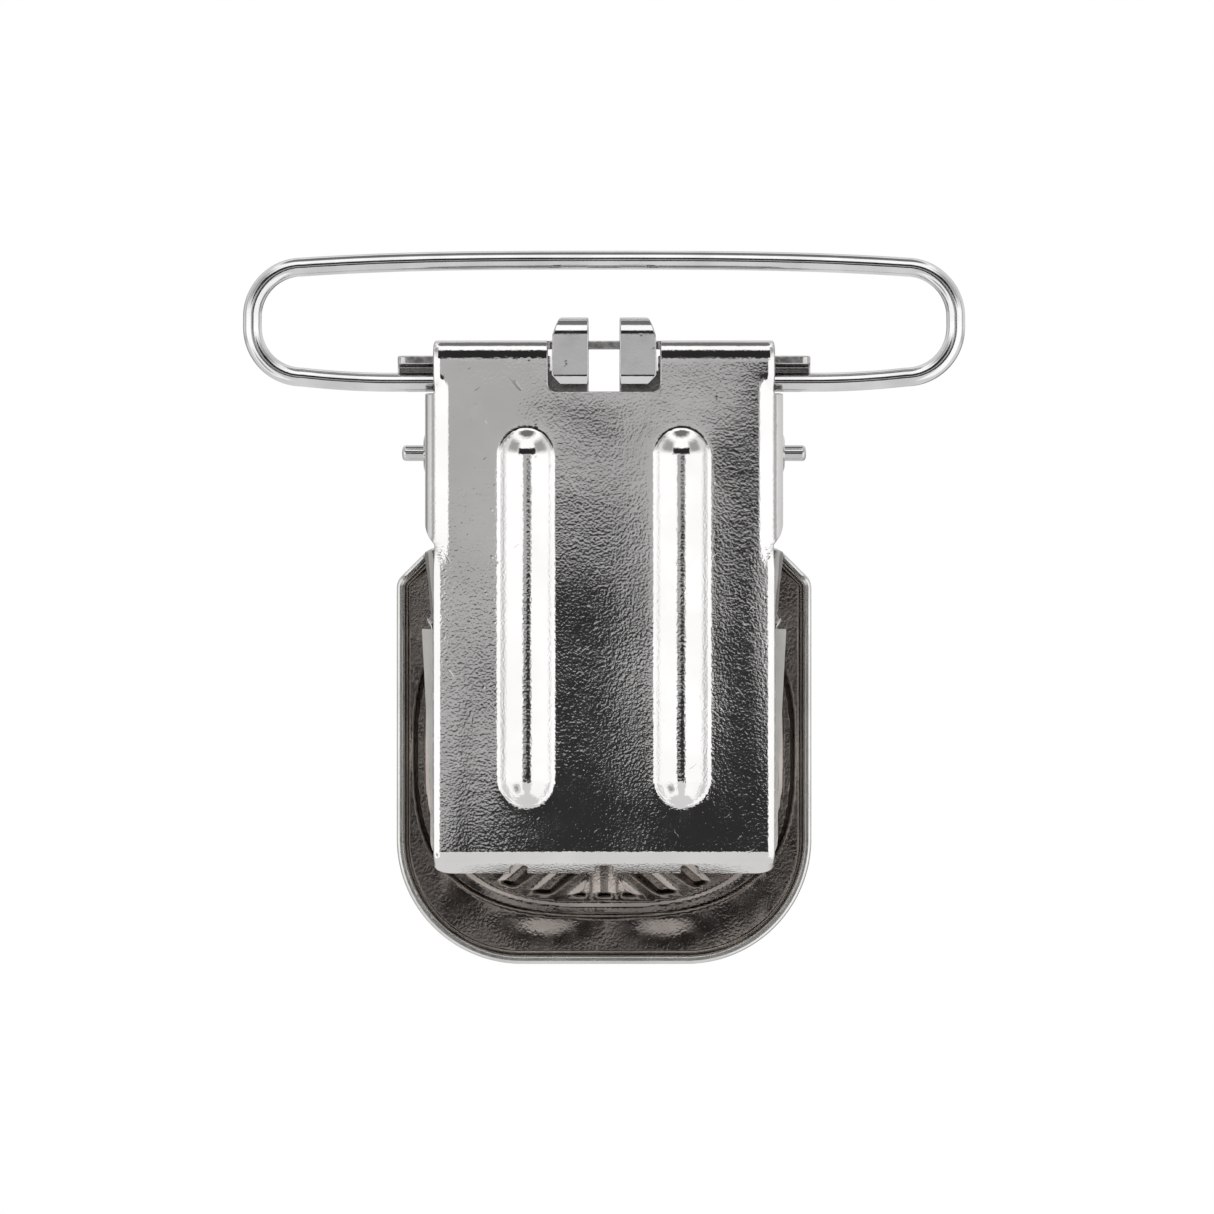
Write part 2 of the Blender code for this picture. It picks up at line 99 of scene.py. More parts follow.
CROWN_HOLLOW = 0.04      # how far it sinks between the beads and rises at them
CROWN_TWIST = 0.0004     # for each millimetre out and up
PLATE_WAVES = 0.4        # the share of the slow waves that it has
ROLL_WIDTH = 0.35        # the plate's side edges roll forward over this width
ROLL_CURVE = 1.2
WING_OUTER = 10.4
WING_BEND = 1.6
WING_TOP = -7.77
WING_BOTTOM = -15.42
WING_TAPER_END = -16.6
WING_TIP = 1.3
BOSS_RADIUS = 1.15
BOSS_HEIGHT = 0.15
PIN_Y = 3.4
PIN_Z = -11.19
PIN_RADIUS = 0.46
PIN_HALF = 11.8
HOLE_RADIUS = 0.5

# Inner jaw
JAW_BACK = 0.6
JAW_MIDDLE = JAW_BACK + HALF_SHEET
JAW_NECK_HALF = 9.7
JAW_WIDE_HALF = 10.45
JAW_WIDE_TOP = -17.0
JAW_WIDE_END = -20.6
JAW_PAD_TOP = -21.3
JAW_PAD_HALF_TOP = 10.1
JAW_PAD_HALF_END = 9.6
JAW_PAD_TAPER_END = -31.0
JAW_BOTTOM = -34.7
JAW_LIP_DEPTH = 0.8
JAW_LIP_TAPER = 0.09     # how much further in the side lips' bend lies for each millimetre down
JAW_LIP_FADE = (-14.0, -12.0)
ARM_HALF = 12.0
ARM_BOTTOM = -7.65
ARM_TOP = -5.57
ARM_BEND = 0.7
ARM_INNER = 3.12
ARM_FLANGE_BACK = -0.75
FINGER_INNER = 0.9
FINGER_OUTER = 3.0
FINGER_TOP = -3.36
FINGER_BACK = -2.9
FINGER_BEND = 1.04
FINGER_TURN = 88.0       # the fingers stand a little off the plate they hook over
FINGER_KNEE = -6.7
FINGER_KNEE_RADIUS = 0.5
FINGER_KNEE_TURN = 40.0
FINGER_TIP = -7.22
SLOT_BOTTOM = -8.2

# Lever and cover
COVER_BACK = 4.1
COVER_FRONT = COVER_BACK + SHEET
COVER_MIDDLE = COVER_BACK + HALF_SHEET
COVER_HALF = 12.1
COVER_BOTTOM = -41.0
COVER_CORNER = 7.3
RIM_BACK = 3.3
RIM_BEND = 0.8
SHOULDER_TOP = -16.3
SHOULDER_CORNER = 0.2
NECK_HALF = 9.75
NECK_BEND = 0.7
NECK_TOP = -10.19
NECK_FOOT = SHOULDER_TOP - 0.27
EAR_RADIUS = 1.05
CAM_Y = 1.15
DOME_ACROSS = 0.07       # how far the cover bulges from side to side
DOME_UPRIGHT = 0.05      # and from top to bottom
DOME_CENTRE = -28.0
DOME_SPAN = 13.0
COVER_WAVES = 0.6        # the share of the slow waves that it has
BADGE_HALF_WIDTH = 10.8
BADGE_HALF_HEIGHT = 9.3
BADGE_CENTRE = -28.7
BADGE_POWER = 2.8        # 2 would make the border an ellipse
BORDER_HEIGHT = 0.15
FIELD_HEIGHT = 0.1
STEM_HALF = 0.74
STEM_HEIGHT = 0.15
VEIN_SLANT = 40.6
VEIN_PITCH = 1.67
VEIN_START = 23.9
VEIN_HEIGHT = 0.13
DENTS = (                # each one's place out and up, half width, half height and depth
    (3.4, -37.9, 2.7, 1.7, 0.26),
    (9.0, -34.6, 1.8, 2.0, 0.22),
)

# The photographer's place
CAMERA_DISTANCE = 900.0
FRAME_WIDTH = 70.38      # how much of the clip's plane the picture takes in
FRAME_CENTRE = (0.17, -20.17)
SENSOR = 36.0

# What the plating mirrors is a white studio with these darker and brighter panels in it. Each one is
# azimuth from and to, elevation from and to, the softness of its edges in degrees, and its brightness.
# Azimuth 0 is the photographer's side, and 90 is the clip's right seen from there. Later panels cover
# earlier ones.
STUDIO_WHITE = 1.2
PANELS = (
    # the far side of the room, its lower part, and a strip straight out to each side
    (100, 400, -60, 60, 14, 0.72),
    (-400, -100, -60, 60, 14, 0.72),
    (100, 400, -60, -5, 5, 0.5),
    (-400, -100, -60, -5, 5, 0.5),
    (80, 100, -60, 60, 7, 0.45),
    (-100, -80, -60, 60, 7, 0.45),
    # the table, with a bright strip to each side of the photographer
    (-400, 400, -100, -14, 4, 0.74),
    (19, 74, -58, -10, 4, 1.15),
    (-74, -19, -58, -10, 4, 1.15),
    # the ceiling
    (-400, 400, 68, 100, 5, 0.18),
    # flags low on the left, on the far side, and high to each side of the photographer
    (-56, -34, -46, -20, 8, 0.38),
    (133, 172, -42, -4, 8, 0.2),
    (-160, -128, -30, 12, 9, 0.3),
    (36, 75, 14, 50, 9, 0.4),
    (-75, -36, 14, 50, 9, 0.4),
    # the photographer's place: a dark band above, a grey front, and two dark patches low on it
    (-36, 36, 7.5, 31, 2.5, 0.025),
    (-17, 17, -13, 7.5, 2.5, 0.48),
    (-2.4, 12, -13, 1.8, 1.3, 0.03),
    (-17, 17, -13, -2.7, 1.2, 0.03),
)
FLOOR_HALF = 1.5         # metres
FLOOR_Z = -0.12          # metres


# ---------------------------------------------------------------- outlines of the blanks

def arc(centre, radius, start, end, step=12.0):
    """Points of an arc from start to end degrees, both included."""
    count = max(2, math.ceil(abs(end - start) / step))
    angles = [math.radians(start + (end - start) * i / count) for i in range(count + 1)]
    return [(centre[0] + radius * math.cos(a), centre[1] + radius * math.sin(a)) for a in angles]


def rounded(u, v, radius, start, end, step=12.0):
    """A quarter arc from start to end degrees, in the place of the square corner at that point."""
    middle = math.radians((start + end) / 2)
    centre = (u - math.copysign(radius, math.cos(middle)), v - math.copysign(radius, math.sin(middle)))
    return arc(centre, radius, start, end, step)


def mirrored(half):
    """A closed outline from its right half, which runs from the middle's top round to its foot."""
    return half + [(-u, v) for u, v in reversed(half) if u > 0]


def tangent_angle(point, centre, radius, side):
    """The direction from a circle's centre to where a line from the point touches it."""
    away = math.degrees(math.atan2(point[1] - centre[1], point[0] - centre[0]))
    distance = math.hypot(point[0] - centre[0], point[1] - centre[1])
    return away + side * math.degrees(math.acos(radius / distance))


def quarter_length(bend_radius):
    """The length along the middle of a sheet through a right-angled bend of that outer radius."""
    return (bend_radius - HALF_SHEET) * math.pi / 2


def wing_place(y):
    """How far out in the back plate's blank a point of a folded wing lies."""
    return WING_OUTER - WING_BEND + quarter_length(WING_BEND) + y - BACK_Y - WING_BEND


def pin_holes(out):
    """The two round holes for the pin, that far out in a blank."""
    return [arc((side * out, PIN_Z), HOLE_RADIUS, 0, 345, 15) for side in (-1, 1)]


def back_blank():
    """The back plate's blank: flange at the top, a wing at each side, and the toothed lip below."""
    bend_length = EASE_RADIUS * math.radians(EASE_TURN) + FLANGE_RADIUS * math.radians(90 - EASE_TURN)
    flange_edge = FACE_TOP + bend_length + FLANGE_FRONT - BACK_Y - FLANGE_DEPTH
    lip_edge = FACE_END - (LIP_BEND - HALF_SHEET) * math.radians(LIP_TURN) - LIP_LENGTH
    tip = (wing_place(PIN_Y), PIN_Z)
    root = wing_place(BACK_Y + WING_BEND)
    upper = tangent_angle((root, WING_TOP), tip, WING_TIP, -1)
    lower = tangent_angle((root, WING_BOTTOM), tip, WING_TIP, 1)
    half = [(0, flange_edge)]
    half += rounded(BACK_HALF, flange_edge, 0.4, 90, 0)
    half += rounded(BACK_HALF, WING_TOP, 0.2, 180, 270)
    half += [(root, WING_TOP)]
    half += arc(tip, WING_TIP, upper, lower)
    half += [(root, WING_BOTTOM), (BACK_HALF, WING_TAPER_END)]
    half += rounded(BACK_HALF, lip_edge, LIP_CORNER, 0, -90)
    arch = lip_edge + NOTCH_DEPTH - NOTCH_HALF
    half += [(NOTCH_PITCH + NOTCH_HALF, lip_edge)]
    half += arc((NOTCH_PITCH, arch), NOTCH_HALF, 0, 180, 20)
    half += [(NOTCH_PITCH - NOTCH_HALF, lip_edge), (NOTCH_HALF, lip_edge)]
    half += arc((0, arch), NOTCH_HALF, 0, 90, 20)
    window_top = flange_edge - CROSSBAR_WIDTH
    window = rounded(WINDOW_HALF, WINDOW_BOTTOM, 0.45, 0, -90)
    window += [(-u, v) for u, v in reversed(window)]
    window += [(-WINDOW_HALF, window_top), (WINDOW_HALF, window_top)]
    return mirrored(half), [window, *pin_holes(tip[0])]


def finger_place(z):
    """How far up the jaw's blank a point on a finger's hooked end lies."""
    bends = 2 * quarter_length(FINGER_BEND)
    top_run = JAW_BACK + SHEET - FINGER_BACK - 2 * FINGER_BEND
    bend_z = FINGER_TOP - FINGER_BEND
    return bend_z + bends + top_run + bend_z - z


def jaw_blank():
    """The inner jaw's blank: two fingers, an arm at each side, and the part the liner is moulded on."""
    arm_edge = (ARM_TOP - ARM_BEND + quarter_length(ARM_BEND) + JAW_BACK + SHEET - ARM_BEND
                - ARM_FLANGE_BACK)
    tip = finger_place(FINGER_TIP)
    hook = finger_place(FINGER_TOP - FINGER_BEND)
    lip = JAW_WIDE_HALF - SHEET + quarter_length(SHEET) + JAW_LIP_DEPTH
    half = [(0, SLOT_BOTTOM), (FINGER_INNER - 0.2, SLOT_BOTTOM)]
    half += rounded(FINGER_INNER, SLOT_BOTTOM, 0.2, -90, 0)
    half += [(FINGER_INNER, tip), (FINGER_OUTER - 0.45, tip), (FINGER_OUTER + 0.05, tip - 0.5)]
    half += [(FINGER_OUTER, hook), (FINGER_OUTER - 0.5, hook - 1.3), (FINGER_OUTER - 0.5, hook - 3.2)]
    slot = (ARM_INNER - FINGER_OUTER) / 2
    half += [(FINGER_OUTER, hook - 4.6)]
    half += arc((FINGER_OUTER + slot, ARM_TOP - ARM_BEND - 0.1), slot, 180, 360)
    half += [(ARM_INNER, arm_edge)]
    half += rounded(ARM_HALF, arm_edge, 0.5, 90, 0)
    half += rounded(ARM_HALF, ARM_BOTTOM, 0.6, 0, -90)
    half += rounded(JAW_NECK_HALF, ARM_BOTTOM, 0.3, 90, 180)
    half += [(JAW_NECK_HALF, JAW_WIDE_TOP + 0.3)]
    half += [(JAW_WIDE_HALF, JAW_WIDE_TOP)]
    half += rounded(lip, JAW_WIDE_TOP, 0.4, 90, 0)
    half += rounded(lip, JAW_WIDE_END, 0.4, 0, -90)
    half += [(JAW_PAD_HALF_TOP, JAW_PAD_TOP), (JAW_PAD_HALF_END, JAW_PAD_TAPER_END)]
    half += rounded(JAW_PAD_HALF_END, JAW_BOTTOM, 1.2, 0, -90)
    half += [(0, JAW_BOTTOM)]
    return mirrored(half), []


def ear_place(y):
    """How far out in the lever's blank a point of a folded ear lies."""
    return NECK_HALF - NECK_BEND + quarter_length(NECK_BEND) + COVER_FRONT - NECK_BEND - y


def lever_blank():
    """The lever's blank: an ear with a cam at each side, and the cover with the wall of its rim."""
    wall = quarter_length(RIM_BEND) + COVER_FRONT - RIM_BEND - RIM_BACK - RIM_BEND
    side = COVER_HALF + wall
    bottom = COVER_BOTTOM - wall
    shoulder = NECK_HALF + SHOULDER_TOP + wall * math.sqrt(2)
    corner = COVER_CORNER + wall
    pin = (ear_place(PIN_Y), PIN_Z)
    cam = ear_place(CAM_Y)
    half = [(0, NECK_TOP), (pin[0] - 0.4, NECK_TOP)]
    half += arc(pin, EAR_RADIUS, 108, 50)
    half += [(cam - 0.65, PIN_Z + 0.5)]
    half += arc((cam - 0.4, PIN_Z - 0.35), 0.4, 60, 0)
    half += arc((cam - 0.4, PIN_Z - 2.0), 0.4, 0, -50)
    half += [(ear_place(RIM_BACK), SHOULDER_TOP + 0.05), (NECK_HALF - 0.45, SHOULDER_TOP - 0.12)]
    half += arc((NECK_HALF - 0.45, NECK_FOOT), 0.15, 90, 270)
    half += [(NECK_HALF + 0.8, SHOULDER_TOP - 0.4)]
    half += [(shoulder - SHOULDER_TOP + 0.45, SHOULDER_TOP - 0.45)]
    half += arc((side - 0.8, shoulder - side + 0.3), 0.8, 45, 0)
    half += rounded(side, bottom, corner, 0, -90, 5)
    half += [(0, bottom)]
    return mirrored(half), pin_holes(pin[0])


# ---------------------------------------------------------------- folding and pressing

def smooth_step(value, low, high):
    """Rises from 0 at low to 1 at high without a corner."""
    share = np.clip((value - low) / (high - low), 0, 1)
    return share * share * (3 - 2 * share)


def smooth_top(height, fillet):
    """The height where it is above zero and zero elsewhere, with a fillet between the two."""
    return (height + np.sqrt(height * height + fillet * fillet)) / 2


def bend(travel, radius, turn=90.0):
    """How far on and how far aside a sheet goes in that travel through a bend of that middle radius."""
    travel = np.maximum(travel, 0)
    full = math.radians(turn)
    angle = np.minimum(travel / radius, full)
    rest = travel - angle * radius
    along = radius * np.sin(angle) + rest * math.cos(full)
    aside = radius * (1 - np.cos(angle)) + rest * math.sin(full)
    return along, aside


def flange_bend(travel):
    """The top flange's two-stage bend: how far on and how far aside it takes the sheet."""
    ease = math.radians(EASE_TURN)
    first = EASE_RADIUS * ease
    along, aside = bend(np.minimum(travel, first), EASE_RADIUS, EASE_TURN)
    more_along, more_aside = bend(travel - first, FLANGE_RADIUS, 90 - EASE_TURN)
    along = along + more_along * math.cos(ease) - more_aside * math.sin(ease)
    aside = aside + more_along * math.sin(ease) + more_aside * math.cos(ease)
    return along, aside


def undulation(u, v, seed):
    """Slow waves of a few hundredths of a millimetre, which no pressed sheet is free of."""
    waves = np.zeros_like(u)
    for index in range(5):
        angle = seed + 2.4 * index
        length = 5.5 + 1.7 * index
        along = (u * math.cos(angle) + v * math.sin(angle)) * math.tau / length
        waves = waves + WAVE_SLOPE * length * np.sin(along + seed * 3.1 + index * 1.7)
    return waves


def bead_height(u, v):
    """Two round-ended stiffening beads pressed out of the back plate."""
    past_end = np.maximum(v - BEAD_TOP + BEAD_HALF, BEAD_BOTTOM + BEAD_HALF - v)
    past_end = np.maximum(past_end, 0)
    distance = np.hypot(np.abs(u) - BEAD_X, past_end)
    return smooth_top(BEAD_HEIGHT * (1 - (distance / BEAD_HALF) ** 2), BEAD_FILLET)


def wing_hold(v):
    """How strongly the sides are bent back: fully along the wings, fading above and below them."""
    fade_in = smooth_step(v, WING_TAPER_END - 1.4, WING_BOTTOM - 0.6)
    fade_out = 1 - smooth_step(v, WING_TOP, WING_TOP + 1.2)
    return np.maximum(fade_in * fade_out, 0.001)


def plate_crown(u, v, start):
    """The plate bows a little towards the wearer, is hollow between its beads and has a slight twist."""
    out = np.abs(u)
    held = np.maximum(out - start, 0) * wing_hold(v)
    across = (out - held) / start
    height = np.clip(v, FACE_END, FACE_TOP) - CROWN_MIDDLE
    upright = CROWN_UPRIGHT * (1 - (height / CROWN_SPAN) ** 2)
    bow = CROWN_ACROSS * (1 - across ** 2) + upright * (1 - 0.6 * across ** 4)
    between = 1 - smooth_step(out, BEAD_X * 1.5, start)
    hollow = -CROWN_HOLLOW * np.cos(out * math.tau / (2 * BEAD_X)) * between
    twist = CROWN_TWIST * np.sign(u) * (out - held) * height
    return bow + hollow + twist


def fold_back(u, v):
    """The back plate: flange and lip bent forward, sides bent round to the wings, beads pressed out."""
    up, up_aside = flange_bend(v - FACE_TOP)
    down, down_aside = bend(FACE_END - v, LIP_BEND - HALF_SHEET, LIP_TURN)
    z = np.clip(v, FACE_END, FACE_TOP) + up - down
    y = BACK_Y + HALF_SHEET + up_aside + down_aside
    start = WING_OUTER - WING_BEND
    out = np.abs(u)
    across, back = bend(out - start, (WING_BEND - HALF_SHEET) / wing_hold(v))
    x = np.minimum(out, start) + across
    y = y + back
    y = y - bead_height(u, v) - plate_crown(u, v, start)
    on_face = smooth_step(v, FACE_END, FACE_END + 3) * (1 - smooth_step(v, FACE_TOP - 3, FACE_TOP))
    y = y - on_face * (1 - smooth_step(out, start - 2, start)) * PLATE_WAVES * undulation(u, v, 1.3)
    rolled = np.maximum(out - BACK_HALF + ROLL_WIDTH, 0)
    beside_wing = smooth_step(v, WING_TAPER_END - 1.5, WING_TAPER_END - 0.3)
    beside_wing = beside_wing * (1 - smooth_step(v, WING_TOP + 0.3, WING_TOP + 1.2))
    y = y + ROLL_CURVE * rolled ** 2 * (1 - beside_wing)
    reach = np.hypot(out - wing_place(PIN_Y), v - PIN_Z)
    x = x + BOSS_HEIGHT * (1 - smooth_step(reach, BOSS_RADIUS - 0.45, BOSS_RADIUS + 0.15))
    return np.stack((np.sign(u) * x, y, z), axis=1)


def fold_finger(v):
    """A finger's y and z: forward over the top of the plate, down behind it, then in at its tip."""
    radius = FINGER_BEND - HALF_SHEET
    first = FINGER_TOP - FINGER_BEND
    top_run = JAW_BACK + SHEET - FINGER_BACK - 2 * FINGER_BEND
    second = first + quarter_length(FINGER_BEND) + top_run
    rise, back = bend(np.minimum(v, second) - first, radius)
    z = np.minimum(v, first) + rise
    y = JAW_MIDDLE - back
    on, fall = bend(v - second, radius, FINGER_TURN)
    z = z - fall
    y = y - on
    knee = finger_place(FINGER_KNEE)
    along, inward = bend(v - knee, FINGER_KNEE_RADIUS, FINGER_KNEE_TURN)
    straight = np.maximum(v - knee, 0)
    return y + inward, z + straight - along


def fold_jaw(u, v):
    """The inner jaw: fingers hooked backwards, arms bent backwards, side lips bent forward."""
    out = np.abs(u)
    rise, arm_back = bend(v - ARM_TOP + ARM_BEND, ARM_BEND - HALF_SHEET)
    arm_z = np.minimum(v, ARM_TOP - ARM_BEND) + rise
    arm_y = JAW_MIDDLE - arm_back
    finger_y, finger_z = fold_finger(v)
    on_finger = out < (FINGER_OUTER + ARM_INNER) / 2
    y = np.where(on_finger, finger_y, arm_y)
    z = np.where(on_finger, finger_z, arm_z)
    below = np.clip(v, JAW_WIDE_END, JAW_WIDE_TOP) - JAW_WIDE_TOP
    start = JAW_WIDE_HALF - SHEET + JAW_LIP_TAPER * below
    hold = smooth_step(v, JAW_PAD_TOP, JAW_WIDE_END) * (1 - smooth_step(v, *JAW_LIP_FADE))
    across, forward = bend(out - start, HALF_SHEET / np.maximum(hold, 0.001))
    x = np.minimum(out, start) + across
    y = y + forward
    on_face = 1 - smooth_step(v, ARM_BOTTOM - 3, ARM_BOTTOM - 1)
    y = y + on_face * undulation(u, v, 4.2)
    return np.stack((np.sign(u) * x, y, z), axis=1)


def rim_travel(out, v):
    """How far outside the line where the cover's rim starts to curl, and the way outwards."""
    side = COVER_HALF - RIM_BEND
    bottom = COVER_BOTTOM + RIM_BEND
    corner = COVER_CORNER - RIM_BEND
    slope = NECK_HALF + SHOULDER_TOP - RIM_BEND * math.sqrt(2)
    diagonal = math.sqrt(0.5)
    low_u, low_v = out - side + corner, v - bottom - corner
    low_length = np.maximum(np.hypot(low_u, low_v), 1e-6)
    top_u = out - side + SHOULDER_CORNER
    top_v = v - (slope - SHOULDER_CORNER * math.sqrt(2) - side + SHOULDER_CORNER)
    top_length = np.maximum(np.hypot(top_u, top_v), 1e-6)
    at_low = (low_u > 0) & (low_v < 0)
    at_top = (top_u > 0) & (top_v > 0) & (top_v < top_u)
    at_shoulder = (top_v >= top_u) | (top_u <= 0) & (top_v > 0)
    at_bottom = low_v < 0
    cases = [at_low, at_bottom, at_top, at_shoulder]
    zero = np.zeros_like(out)
    travel = np.select(cases, [low_length - corner, bottom - v, top_length - SHOULDER_CORNER,
                               (out + v - slope) * diagonal], out - side)
    way_u = np.select(cases, [low_u / low_length, zero, top_u / top_length, zero + diagonal],
                      zero + 1)
    way_v = np.select(cases, [low_v / low_length, zero - 1, top_v / top_length, zero + diagonal],
                      zero)
    return np.maximum(travel, 0), way_u, way_v


def ridge(distance, half_width):
    """A rounded ridge of unit height that far to either side of a line."""
    return 1 - smooth_step(np.abs(distance), half_width * 0.35, half_width)


def badge_relief(u, v):
    """The cover's pressed ornament: a ridge round a raised field, with a stem and slanting veins."""
    high = v - BADGE_CENTRE
    level = (np.abs(u / BADGE_HALF_WIDTH) ** BADGE_POWER
             + np.abs(high / BADGE_HALF_HEIGHT) ** BADGE_POWER) ** (1 / BADGE_POWER)
    from_border = (level - 1) * BADGE_HALF_HEIGHT
    field = 1 - smooth_step(from_border, -1.15, -0.7)
    relief = (BORDER_HEIGHT * ridge(from_border + 0.1, 0.5)
              + FIELD_HEIGHT * (1 - smooth_step(from_border, -0.7, -0.2)))
    stem_end = smooth_step(high, -BADGE_HALF_HEIGHT + 0.3, -BADGE_HALF_HEIGHT + 0.8)
    stem = ridge(u, STEM_HALF) * stem_end
    slant = math.radians(VEIN_SLANT)
    along = np.abs(u) * math.sin(slant) + v * math.cos(slant)
    vein = smooth_step(np.cos((along + VEIN_START) * math.tau / VEIN_PITCH), -0.9, 0.9)
    beside = smooth_step(np.abs(u), 0.75, 1.2)
    return relief + field * (STEM_HEIGHT * stem + VEIN_HEIGHT * vein * beside)


def dents(u, v):
    """Soft hollows that the press leaves between the ornament and the rim."""
    hollow = np.zeros_like(u)
    for centre_u, centre_v, width, height, depth in DENTS:
        reach = ((np.abs(u) - centre_u) / width) ** 2 + ((v - centre_v) / height) ** 2
        hollow = hollow + depth * np.exp(-reach)
    return hollow


def fold_lever(u, v):
    """The lever: ears and the cover's rim bent backwards, the cover embossed towards the front."""
    out = np.abs(u)
    travel, way_u, way_v = rim_travel(out, v)
    along, rim_back = bend(travel, RIM_BEND - HALF_SHEET)
    rim_x = out + way_u * (along - travel)
    rim_z = v + way_v * (along - travel)
    start = NECK_HALF - NECK_BEND
    across, ear_back = bend(out - start, NECK_BEND - HALF_SHEET)
    on_neck = v > NECK_FOOT
    x = np.where(on_neck, np.minimum(out, start) + across, rim_x)
    y = COVER_MIDDLE - np.where(on_neck, ear_back, rim_back)
    z = np.where(on_neck, v, rim_z)
    flat = (1 - smooth_step(out, 8.6, 9.6)) * smooth_step(v, COVER_BOTTOM + 0.5, COVER_BOTTOM + 3)
    dome = (DOME_ACROSS * (1 - (u / COVER_HALF) ** 2)
            + DOME_UPRIGHT * (1 - ((v - DOME_CENTRE) / DOME_SPAN) ** 2))
    y = y + badge_relief(u, v) + flat * (COVER_WAVES * undulation(u, v, 2.7) + dome - dents(u, v))
    return np.stack((np.sign(u) * x, y, z), axis=1)


# ---------------------------------------------------------------- meshes

def resample(outline, step):
    """The outline with points no further apart than the step."""
    points = []
    for index, (u, v) in enumerate(outline):
        next_u, next_v = outline[(index + 1) % len(outline)]
        length = math.hypot(next_u - u, next_v - v)
        count = math.ceil(length / step) if length > 1e-6 else 0
        for i in range(count):
            points.append((u + (next_u - u) * i / count, v + (next_v - v) * i / count))
    return np.array(points)


def signed_area(points):
    """A closed outline's area, above zero when it turns left."""
    nxt = np.roll(points, -1, axis=0)
    return float(np.sum(points[:, 0] * nxt[:, 1] - nxt[:, 0] * points[:, 1]) / 2)


def outward(points):
    """The way out of the material at each point, longer at corners so that an inset stays even."""
    before = points - np.roll(points, 1, axis=0)
    after = np.roll(points, -1, axis=0) - points
    before /= np.linalg.norm(before, axis=1)[:, None]
    after /= np.linalg.norm(after, axis=1)[:, None]
    normal_in = np.stack((before[:, 1], -before[:, 0]), axis=1)
    normal_out = np.stack((after[:, 1], -after[:, 0]), axis=1)
    both = normal_in + normal_out
    return both / np.maximum(np.sum(both * both, axis=1) / 2, 0.6)[:, None]


def inside(points, loops):
    """Which points are inside the outline and outside the holes."""
    result = np.zeros(len(points), bool)
    for loop in loops:
        nxt = np.roll(loop, -1, axis=0)
        for (au, av), (bu, bv) in zip(loop, nxt):
            if av == bv:
                continue
            spans = (av > points[:, 1]) != (bv > points[:, 1])
            cross = points[:, 0] < au + (points[:, 1] - av) * (bu - au) / (bv - av)
            result ^= spans & cross
    return result


def fill_points(loops, step):
    """A grid of points well inside the loops."""
    border = np.concatenate(loops)
    low, high = border.min(axis=0), border.max(axis=0)
    right = np.arange(step / 2, high[0], step)
    columns = np.concatenate((-right[::-1], right))
    rows = np.arange(low[1], high[1], step)
    grid = np.stack(np.meshgrid(columns, rows), axis=-1).reshape(-1, 2)
    grid = grid[inside(grid, loops)]
    cells = {}
    for u, v in border:
        cells.setdefault((int(u // step), int(v // step)), []).append((u, v))
    around = [(i, j) for i in (-1, 0, 1) for j in (-1, 0, 1)]
    kept = []
    for u, v in grid:
        column, row = int(u // step), int(v // step)
        near = [p for i, j in around for p in cells.get((column + i, row + j), [])]
        if all((u - a) ** 2 + (v - b) ** 2 > (0.55 * step) ** 2 for a, b in near):
            kept.append((u, v))
    return np.array(kept)


def slopes(fold, flat):
    """The folded points, and how they move with each of the blank's two directions."""
    u, v = flat[:, 0], flat[:, 1]
    along_u = (fold(u + SLOPE_STEP, v) - fold(u - SLOPE_STEP, v)) / (2 * SLOPE_STEP)
    along_v = (fold(u, v + SLOPE_STEP) - fold(u, v - SLOPE_STEP)) / (2 * SLOPE_STEP)
    return fold(u, v), along_u, along_v


def unit(vectors):
    return vectors / np.maximum(np.linalg.norm(vectors, axis=1), 1e-9)[:, None]


def make_mesh(name, points, normals, faces, slots, materials):
    """A smooth object in metres from points in millimetres, with its own normals."""
    mesh = bpy.data.meshes.new(name)
    mesh.from_pydata((points * MM).tolist(), [], faces)
    for finish in materials:
        mesh.materials.append(finish)
    mesh.polygons.foreach_set("material_index", slots)
    mesh.shade_smooth()
    mesh.update()
    mesh.normals_split_custom_set_from_vertices(normals.tolist())
    obj = bpy.data.objects.new(name, mesh)
    bpy.context.scene.collection.objects.link(obj)
    return obj


